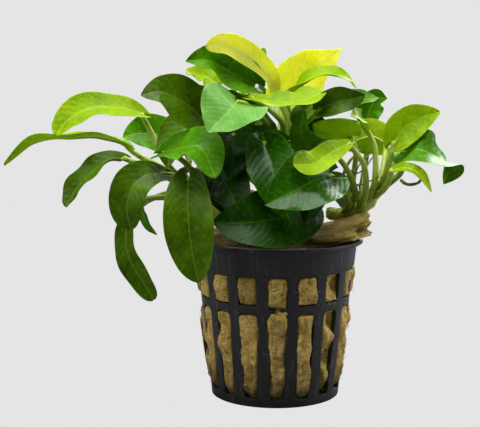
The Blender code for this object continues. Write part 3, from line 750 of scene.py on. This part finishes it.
def stalk_skin(name, low, high):
    """A leaf stalk: smooth and waxy, and darker towards the rhizome."""
    made, tree, out = new_material(name)
    place = node(tree, "TexCoord").outputs["Object"]
    share = node(tree, "UVMap", uv_map="blade_share").outputs[0]
    along = node(tree, "SeparateXYZ", {0: share}).outputs[1]
    shade = maths(tree, "MULTIPLY", along, cloud(tree, place, 2.5, 3.0))
    tone = mixed(tree, ranged(tree, shade, 0.05, 0.5), low, high)
    skin = node(tree, "BsdfPrincipled", {"Base Color": tone, "Roughness": 0.4, "IOR": 1.45}).outputs[0]
    let_light_through(tree, out, tone, skin, 0.15)
    return made


STALK = stalk_skin("anubias_stalk", "6E8A18", "A2C038")
PALE_STALK = stalk_skin("young_anubias_stalk", "8EA430", "C2DA5C")

# An old leaf is dark, darkest where it is wet, and the old leaves deep inside the plant take a still darker
# copy as painted shade;
# a grown one is mid green, a young one thin and yellow-green, and the newest are nearly yellow and let the
# light through. Each tone is the two sides of the blade, the stalk and the slot.
DARK = ([leaf_skin("old_leaf_top", "2A4400", "466C00", "5C8002", "76921C", 0.34, 0.06, 0.2),
         leaf_skin("old_leaf_underside", "345A00", "527E04", "6E9810", "88AA30", 0.5, 0.18, 0.3)],
        STALK, "leaf_old")
# Painted shade: a darker copy of the old leaf's colours, for the leaves deep inside the plant where shade
# falls.
PAINTED_SHADE_OLD = ([leaf_skin("old_leaf_painted_shade_top", "0A2400", "183E00", "2A5800", "427410", 0.3, 0.04, 0.2),
        leaf_skin("old_leaf_painted_shade_underside", "1E4400", "366400", "4E7C0A", "688E20", 0.5, 0.12, 0.3)],
       STALK, "leaf_old")
WAXY = ([leaf_skin("wet_leaf_top", "0E3000", "205200", "387000", "528C10", 0.2, 0.05, 0.2, coat=0.1),
         leaf_skin("wet_leaf_underside", "2E5800", "467A04", "60940E", "80AC30", 0.5, 0.18, 0.3)],
        STALK, "leaf_old")
GREEN = ([leaf_skin("grown_leaf_top", "2E6800", "4C8E00", "6CA60A", "90BC2C", 0.34, 0.14, 0.25),
          leaf_skin("grown_leaf_underside", "467E00", "689E0C", "88B620", "A2C43C", 0.5, 0.26, 0.3)],
         STALK, "leaf_grown")
MATT = ([leaf_skin("matt_leaf_top", "4A8A22", "609C38", "7EAE50", "92BC62", 0.45, 0.12, 0.3, worn=0.3),
         leaf_skin("matt_leaf_underside", "4A8420", "6AA030", "8CBC48", "A8CC60", 0.5, 0.2, 0.4)],
        STALK, "leaf_grown")
YOUNG = ([leaf_skin("young_leaf_top", "7CA800", "9EC402", "B8D410", "D0E440", 0.38, 0.36, 0.2),
          leaf_skin("young_leaf_underside", "A4C208", "BCD614", "D0E434", "DEEC68", 0.48, 0.5, 0.25)],
         PALE_STALK, "leaf_young")
GOLDEN = ([leaf_skin("newest_leaf_top", "DCE018", "F0F048", "F8F890", "FCFCC0", 0.45, 0.5, 0.3),
           leaf_skin("newest_leaf_underside", "E8E848", "F4F480", "FAFAB8", "FCFCD8", 0.5, 0.6, 0.3)],
          PALE_STALK, "leaf_newest")


def bud_on(place, share, towards):
    """A point just clear of a rhizome's skin, and the way out from it, on the side of a point."""
    stem = RHIZOMES[place]
    centre, along = place_on(stem["path"], share)
    out = Vector(towards) - centre
    out = (out - along * out.dot(along)).normalized()
    radius = stem["radii"][0] + (stem["radii"][1] - stem["radii"][0]) * share
    return centre + out * (radius + GAP), out


def outline(share, widest):
    """The blade's half width at a share of its length, as part of its greatest half width."""
    base_power = BASE_POWER * (1 + widest) / 1.4
    tip_power = base_power * (1 - widest) / widest
    return (share / widest) ** base_power * ((1 - share) / (1 - widest)) ** tip_power


def bent(reach, fold, cup):
    """Where a point lies across and above the midrib, on a blade folded and then cupped."""
    if abs(cup) < 0.01:
        return reach * math.cos(fold), reach * math.sin(fold)
    across = reach * (math.sin(fold + cup) - math.sin(fold)) / cup
    above = reach * (math.cos(fold) - math.cos(fold + cup)) / cup
    return across, above


def blade_frame(path, faces, part):
    """A point on the midrib, the way along it, and the way that the blade's top looks there."""
    centre, along = place_on(path, part)
    up = faces[0].lerp(faces[1], part)
    return centre, along, (up - along * up.dot(along)).normalized()


def blade_top(shape, path, faces, width, fold, cup, widest, ripple):
    """Lays the blade's top as a grid, and says where each vertex is, in millimetres and in shares."""
    long = length_of(path)
    places = {}
    grid = bmesh.ops.create_grid(shape, x_segments=BLADE_ACROSS, y_segments=BLADE_ALONG, size=1.0)
    for vert in grid["verts"]:
        step = math.sin(vert.co.x * math.pi / 2)
        row = (vert.co.y + 1) / 2
        part = 0.003 + 0.994 * (row + 0.16 * row * (1 - row) * (2 * row - 1))
        centre, along, up = blade_frame(path, faces, part)
        half = width / 2 * outline(part, widest)
        across, above = bent(half * abs(step), fold, cup * abs(step))
        back = LOBE * width * step * step * (1 - part) ** 4
        phase = ripple[1] if step > 0 else ripple[2]
        lift = EDGE_WAVE * step * step * math.sin(math.tau * ripple[0] * part + phase) * min(half / 4, 1.0)
        spot = centre + along.cross(up) * math.copysign(across, step)
        spot += up * (above + lift) - along * back
        vert.co = spot + up * DRIFT_DEPTH * noise.noise(spot * DRIFT_PACE)
        places[vert] = ((half * step, part * long - back), (step, part))
    return places


def add_underside(shape, upper, places):
    """Gives the blade its thickness: a copy below its top, closer to the margin, joined all round."""
    upper_edge = [edge for edge in shape.edges if edge.is_boundary]
    copy = bmesh.ops.duplicate(shape, geom=upper)
    lower = [item for item in copy["geom"] if isinstance(item, bmesh.types.BMFace)]
    for top, (in_mm, (step, part)) in places.items():
        copy["vert_map"][top].co = top.co - top.normal * (BLADE_WALL * (1 - 0.75 * step * step))
    bmesh.ops.reverse_faces(shape, faces=lower)
    for face in lower:
        face.material_index = 1
    lower_edge = dict.fromkeys(edge for face in lower for edge in face.edges if edge.is_boundary)
    bmesh.ops.bridge_loops(shape, edges=upper_edge + list(lower_edge))


def add_stalk(shape, bud, out, stalk_path, blade_path, faces):
    """Adds the stalk, which runs on under the blade as its midrib and fades out near the tip."""
    stations = []
    ahead = place_on(blade_path, 0.0)[1]
    up = (faces[0] - ahead * faces[0].dot(ahead)).normalized()
    for k in range(STALK_RINGS, -1, -1):
        centre, along = place_on(stalk_path, k / STALK_RINGS) if k else (bud, out)
        up = ahead.rotation_difference(along) @ up
        ahead = along
        radius = STALK_RADII[0] + (STALK_RADII[1] - STALK_RADII[0]) * k / STALK_RINGS
        stations.insert(0, (centre, along.cross(up) * radius, up * radius))
    for k in range(1, STALK_RINGS + 1):
        part = RIB_END * k / STALK_RINGS
        centre, along, up = blade_frame(blade_path, faces, part)
        radius = max(RIB_RADIUS * (1 - part) ** 1.3, 0.05)
        drift = DRIFT_DEPTH * noise.noise(centre * DRIFT_PACE)
        sunk = centre + up * (drift - BLADE_WALL * 0.6 - radius * 0.9)
        stations.append((sunk, along.cross(up) * radius, up * radius))
    bar(shape, stations, 10, material_index=2)
    in_shares = shape.loops.layers.uv["blade_share"]
    long = length_of(stalk_path) + 1
    for face in shape.faces:
        if face.material_index == 2:
            for corner in face.loops:
                corner[in_shares].uv = (0.0, min((corner.vert.co - bud).length / long, 1.0))


def leaf(name, rhizome, share, stalk, blade, width, face, tip_face, finish,
         fold=12, cup=10, widest=0.37):
    """A leaf with its stalk. A face is the way that the blade's upper side looks, at base and tip."""
    sides, stalk_finish, slot = finish
    bud, out = bud_on(rhizome, share, stalk[0])
    stalk_path = smooth_path([bud] + stalk + [blade[0]])
    blade_path = smooth_path(blade)
    faces = [Vector(way).normalized() for way in (face, tip_face)]
    draw = random.Random(name)
    ripple = (draw.uniform(1.6, 2.8), draw.uniform(0, math.tau), draw.uniform(0, math.tau))
    shape = bmesh.new()
    for layer in ("blade_mm", "blade_share"):
        shape.loops.layers.uv.new(layer)
    places = blade_top(shape, blade_path, faces, width, math.radians(fold), math.radians(cup), widest,
                       ripple)
    upper = shape.faces[:]
    for top_face in upper:
        for corner in top_face.loops:
            for layer, spot in zip(shape.loops.layers.uv.values(), places[corner.vert]):
                corner[layer].uv = spot
    bmesh.ops.recalc_face_normals(shape, faces=upper)
    heart = place_on(blade_path, 0.4)[0]
    middle = min(upper, key=lambda f: (f.calc_center_median() - heart).length)
    if middle.normal.dot(faces[0].lerp(faces[1], 0.4)) < 0:
        bmesh.ops.reverse_faces(shape, faces=upper)
    shape.normal_update()
    add_underside(shape, upper, places)
    add_stalk(shape, bud, out, stalk_path, blade_path, faces)
    add_piece(name + "_blade", shape, sides + [stalk_finish], slot, name)


# Leaves of the left rhizome, from the top down

leaf("leaf_left_arched", "left", 0.95, [(-34, -3, 73), (-38, -1, 81)],
     [(-41, -3, 87), (-48, -4, 89), (-56, -6, 89), (-62, -8, 86), (-66, -10, 81)], 11,
     (0, -2, 3), (-1, -2, 1), YOUNG, widest=0.55)
leaf("leaf_left_long", "left", 0.86, [(-35, 3, 70), (-41, 3, 73)],
     [(-44, 2, 75), (-47, 1, 78), (-54, -2, 80), (-62, -5, 80), (-72, -7, 79), (-82, -9, 72)], 9,
     (0, -1, 4), (0, 1, 2), YOUNG, widest=0.5)
leaf("leaf_left_folded", "left", 0.88, [(-35, -6, 69), (-41, -8, 72)],
     [(-46, -8, 74), (-50, -10, 74), (-54, -12, 71), (-59, -13, 66), (-63, -14, 60)], 9, (0, -1, 2),
     (-2, -2, 1), DARK, fold=22, widest=0.55)
leaf("leaf_left_drooping", "left", 0.74, [(-29, -9, 67), (-31, -12, 69)],
     [(-34, -14, 70), (-38, -17, 70), (-42, -20, 67), (-44, -21, 61), (-43, -20, 54)], 12, (0, -1, 1),
     (-1, -4, 0), DARK, widest=0.5)
leaf("leaf_left_hanging", "left", 0.6, [(-30, -1, 61), (-39, -1, 61)],
     [(-44, -1, 58), (-46, -4, 51), (-45, -7, 44), (-41, -9, 37), (-37, -10, 31)], 8,
     (-1, -2, 0), (0, -1, 0), DARK, fold=20, widest=0.6)
leaf("leaf_left_small", "left", 0.72, [(-33, 4, 62), (-39, 4, 60)],
     [(-42, 4, 58), (-40, 3, 53), (-37, 3, 49)], 4, (-1, -1, 0), (-1, -1, 0), GREEN)
leaf("leaf_front_left", "left", 0.5, [(-24, -11, 64), (-26, -17, 69)],
     [(-26, -22, 69), (-26, -27, 62), (-25, -29, 51), (-23, -29, 40)], 15, (0, -2, 1), (0, -1, 0), DARK,
     widest=0.45)
leaf("leaf_left_bright", "left", 0.62, [(-26, -9, 71), (-30, -12, 75)],
     [(-34, -14, 76), (-28, -19, 78), (-22, -24, 78), (-18, -29, 70)], 14, (0, -2, 3), (1, -3, 1), GREEN,
     widest=0.43)
leaf("leaf_left_behind", "left", 0.97, [(-27, 6, 73), (-31, 11, 77)],
     [(-34, 13, 79), (-39, 13, 80), (-44, 12, 80), (-48, 11, 79)], 13, (0, -2, 1), (0, -2, 1), GREEN)
leaf("leaf_left_shaded", "left", 0.8, [(-22, 0, 72), (-20, 4, 80)],
     [(-22, 4, 83), (-28, 0, 82), (-32, -4, 77), (-33, -6, 71)], 13, (0, -1, 1), (-1, -3, 0), DARK)

# Leaves of the middle rhizome: its upper crown

leaf("leaf_golden_arched", "middle", 1.0, [(4, 2, 84), (2, 2, 89)],
     [(0, 2, 92), (-2, 1, 98), (-6, -2, 103), (-11, -6, 106), (-16, -10, 108), (-21, -13, 107)], 8,
     (4, -5, 1), (3, -5, 1), GOLDEN, widest=0.55)
leaf("leaf_golden_upright", "middle", 0.96, [(2, 10, 84), (2, 12, 88)],
     [(3, 12, 91), (7, 12, 96), (12, 11, 101), (17, 9, 104), (21, 8, 107)], 17,
     (0, -1, 0), (0, -1, 0), GOLDEN, widest=0.28)
leaf("leaf_top_left", "middle", 0.98, [(-4, 3, 85), (-7, 1, 93)],
     [(-7, -1, 96), (-13, -4, 99), (-20, -8, 103), (-27, -11, 103)], 14, (0, -2, 1), (0, -2, 1), GREEN,
     fold=25)
leaf("leaf_top_behind", "middle", 0.9, [(-4, 10, 82), (-9, 14, 91)],
     [(-11, 15, 95), (-9, 17, 100), (-5, 17, 104), (-3, 16, 107)], 10, (-1, -2, 0), (0, -1, 0), YOUNG)
leaf("leaf_top_shaded", "middle", 0.9, [(-5, 0, 83), (-6, -1, 88)],
     [(-6, -3, 90), (-12, -5, 91), (-18, -7, 93), (-24, -9, 96)], 8, (0, 1, 3), (0, 1, 3), DARK)
leaf("leaf_top_far_left", "middle", 0.82, [(-7, 8, 80), (-16, 14, 92)],
     [(-19, 15, 96), (-22, 16, 98), (-26, 15, 99), (-28, 13, 99)], 8, (0, -1, 1), (0, -1, 1), YOUNG)
leaf("leaf_top_front", "middle", 0.92, [(2, -3, 84), (-4, -6, 90)],
     [(-8, -8, 92), (-1, -12, 91), (6, -14, 91), (14, -12, 94)], 10, (0, -1, 2), (0, -1, 2), YOUNG,
     widest=0.65)
leaf("leaf_top_right_arch", "middle", 0.97, [(5, 8, 84), (4, 8, 89)],
     [(4, 6, 92), (8, 3, 96), (14, 1, 99), (21, 2, 98), (25, 4, 95)], 10, (0, -1, 3), (1, -1, 2), YOUNG)
leaf("leaf_upper_left", "middle", 0.76, [(-5, 0, 78), (-14, -6, 84)],
     [(-22, -10, 86), (-28, -13, 91), (-34, -15, 94), (-40, -16, 93)], 15, (0, -2, 1), (0, -3, 2), DARK)
leaf("leaf_centre_light", "middle", 0.84, [(-3, -5, 84), (-9, -11, 90)],
     [(-12, -13, 91), (-13, -19, 90), (-16, -25, 87), (-20, -30, 83)], 20, (1, -1, 2), (0, -3, 2), MATT)
leaf("leaf_upper_right_cupped", "middle", 0.86, [(4, -4, 80), (9, -9, 85)],
     [(13, -11, 89), (17, -13, 91), (22, -14, 92), (26, -13, 93)], 9, (0, -2, 1), (1, -2, 0), DARK,
     fold=20)
leaf("leaf_upper_right", "middle", 0.8, [(7, 4, 80), (8, 3, 84)],
     [(10, 1, 87), (18, -2, 89), (24, -4, 91), (31, -3, 92)], 13, (0, -2, 3), (0, -2, 3), GREEN)
leaf("leaf_upper_right_dark", "middle", 0.64, [(6, 0, 75), (7, -1, 81)],
     [(7, -2, 84), (8, -4, 87), (11, -5, 90), (14, -3, 94)], 8, (0, -1, 1), (0, -1, 1), DARK)

# Leaves of the middle rhizome: inside and below

leaf("leaf_centre_shaded", "middle", 0.5, [(6, -3, 71), (6, -6, 77)],
     [(4, -7, 79), (-1, -9, 81), (-6, -9, 82), (-10, -7, 84)], 6, (0, -1, 2), (0, -2, 2), PAINTED_SHADE_OLD)
leaf("leaf_left_round", "middle", 0.6, [(-5, 0, 73), (-11, -4, 79)],
     [(-13, -9, 81), (-13, -14, 78), (-13, -18, 74), (-14, -21, 69)], 13, (0, -2, 1), (0, -3, 1), PAINTED_SHADE_OLD)
leaf("leaf_front_low_left", "middle", 0.44, [(-5, -1, 65), (-13, -6, 72)],
     [(-18, -10, 73), (-16, -17, 69), (-13, -22, 64), (-11, -26, 58)], 15, (0, -2, 1), (0, -3, 1), PAINTED_SHADE_OLD)
leaf("leaf_front_low_edge", "middle", 0.32, [(-6, -2, 62), (-16, -5, 66)],
     [(-18, -8, 68), (-18, -13, 65), (-16, -18, 62), (-14, -20, 58)], 10, (0, -2, 1), (0, -3, 1), PAINTED_SHADE_OLD)
leaf("leaf_centre_glossy", "middle", 0.54, [(0, -5, 74), (-2, -11, 79)],
     [(-4, -16, 79), (-2, -21, 73), (0, -25, 66), (3, -28, 58)], 15, (0, -1, 1), (0, -2, 1), WAXY)
leaf("leaf_rim_broad", "middle", 0.14, [(8, -2, 57), (10, -10, 60)],
     [(8, -16, 60), (1, -23, 58), (-9, -27, 57), (-19, -26, 57)], 20, (0, -3, 1), (0, -2, 1), PAINTED_SHADE_OLD)
leaf("leaf_rim_small", "middle", 0.26, [(8, -2, 62), (12, -9, 66)],
     [(12, -15, 66), (11, -20, 64), (9, -24, 60), (8, -25, 56)], 9, (0, -1, 1), (0, -1, 1), PAINTED_SHADE_OLD)

# Three inner leaves in the painted-shade tone, which fill and darken the inside of the plant.
leaf("leaf_inner_high", "back", 0.75, [(-3, 19, 66), (-5, 18, 71)],
     [(-6, 18, 74), (-6, 18, 79), (-6, 19, 84), (-5, 20, 89)], 15, (0, -1, 0), (0, -1, 0), PAINTED_SHADE_OLD)
leaf("leaf_inner_right", "middle", 0.4, [(6, 6, 66), (9, 8, 69)],
     [(11, 9, 71), (12, 9, 77), (12, 8, 83), (11, 7, 88)], 13, (0, -1, 0), (0, -1, 0), PAINTED_SHADE_OLD)
leaf("leaf_inner_left", "middle", 0.5, [(-5, 6, 67), (-10, 8, 69)],
     [(-12, 8, 70), (-14, 8, 75), (-16, 7, 80), (-17, 6, 86)], 12, (0, -1, 0), (0, -1, 0), PAINTED_SHADE_OLD)

# Leaves of the right rhizome

leaf("leaf_front_broad", "right", 0.3, [(22, -6, 60), (19, -13, 67)],
     [(15, -20, 70), (10, -26, 69), (3, -31, 66), (-4, -34, 63)], 19, (0, -2, 1), (0, -2, 1), WAXY)
leaf("leaf_right_twisted", "right", 0.42, [(24, -5, 64), (21, -8, 71)],
     [(17, -9, 76), (11, -12, 77), (7, -13, 82), (8, -13, 89)], 9, (-1, -2, 1), (-1, -2, 0), GREEN)
leaf("leaf_right_cupped", "right", 0.45, [(24, 5, 63), (25, 4, 74)],
     [(23, 1, 80), (19, -2, 81), (15, -4, 82), (11, -4, 84)], 12, (0, -2, -1), (0, -1, 0), YOUNG)
leaf("leaf_front_bright", "right", 0.55, [(27, -7, 63), (26, -11, 72)],
     [(21, -15, 79), (16, -20, 77), (10, -26, 74), (4, -30, 74)], 8, (0, -2, 1), (0, -2, 1), YOUNG,
     widest=0.65)
leaf("leaf_right_pale", "right", 0.93, [(33, -6, 68), (34, -9, 74)],
     [(35, -10, 79), (38, -9, 83), (43, -8, 86), (49, -8, 88)], 11, (0, -3, 1), (0, -3, 1), YOUNG)
leaf("leaf_right_young", "right", 0.75, [(30, -5, 67), (30, -3, 77)],
     [(27, -3, 83), (25, -7, 86), (22, -10, 87)], 8, (0, -1, 1), (0, -1, 1), YOUNG)
leaf("leaf_right_behind", "right", 0.72, [(33, 6, 67), (35, 11, 74)],
     [(35, 13, 77), (31, 13, 79), (26, 12, 78), (22, 11, 75)], 12, (0, 1, 0), (0, 1, 0), YOUNG)
leaf("leaf_right_hooked", "right", 1.0, [(38, -3, 69), (38, -6, 73)],
     [(38, -8, 76), (42, -12, 77), (47, -12, 75), (52, -9, 72), (51, -6, 66)], 14, (0, -2, 1), (2, 2, 0),
     GREEN)
leaf("leaf_right_narrow", "right", 0.82, [(33, -7, 65), (34, -11, 69)],
     [(34, -14, 71), (38, -18, 72), (42, -19, 70), (45, -19, 65)], 4, (0, -1, 1), (0, -1, 1), YOUNG)
leaf("leaf_right_dark", "right", 0.98, [(36, 5, 70), (40, 9, 76)],
     [(42, 11, 79), (45, 12, 80), (48, 12, 78), (51, 11, 75)], 8, (1, 0, 2), (1, 0, 1), DARK)
leaf("leaf_right_upright", "right", 0.6, [(28, 10, 66), (30, 17, 76)],
     [(30, 19, 84), (31, 19, 88), (33, 19, 91), (36, 17, 91)], 9, (-1, -2, 0), (0, -1, 0), GREEN)

# Leaves of the back rhizome, which fill the plant's far side

leaf("leaf_back_high", "back", 1.0, [(3, 23, 72), (3, 24, 80)],
     [(3, 26, 86), (2, 31, 91), (0, 37, 92), (-2, 43, 89)], 15, (0, 1, 2), (0, 2, 1), GREEN)
leaf("leaf_back_left", "back", 0.9, [(-3, 24, 68), (-9, 26, 75)],
     [(-13, 27, 79), (-19, 30, 81), (-25, 33, 79), (-31, 35, 74)], 15, (-1, 1, 2), (-1, 2, 1), DARK)
leaf("leaf_back_right", "back", 0.85, [(7, 24, 66), (12, 26, 73)],
     [(15, 27, 77), (21, 29, 79), (28, 31, 78), (34, 33, 73)], 14, (1, 1, 2), (1, 2, 1), GREEN)
leaf("leaf_back_hanging", "back", 0.8, [(3, 28, 63), (4, 33, 67)],
     [(4, 36, 67), (5, 40, 61), (5, 41, 53), (4, 40, 44)], 15, (0, 2, 1), (0, 1, 0), DARK)
leaf("leaf_back_low_left", "back", 0.55, [(-6, 22, 60), (-12, 25, 62)],
     [(-15, 27, 62), (-20, 30, 60), (-26, 32, 55), (-30, 32, 49)], 13, (-1, 2, 2), (-1, 2, 1), DARK)
leaf("leaf_back_low_right", "back", 0.6, [(5, 22, 59), (12, 25, 62)],
     [(15, 27, 63), (20, 29, 61), (25, 31, 56), (28, 31, 49)], 13, (1, 2, 2), (1, 2, 1), DARK)
leaf("leaf_back_rim", "back", 0.35, [(-2, 22, 53), (-3, 26, 56)],
     [(-4, 29, 57), (-6, 33, 54), (-8, 36, 48), (-9, 37, 41)], 12, (0, 2, 1), (0, 1, 0), DARK)
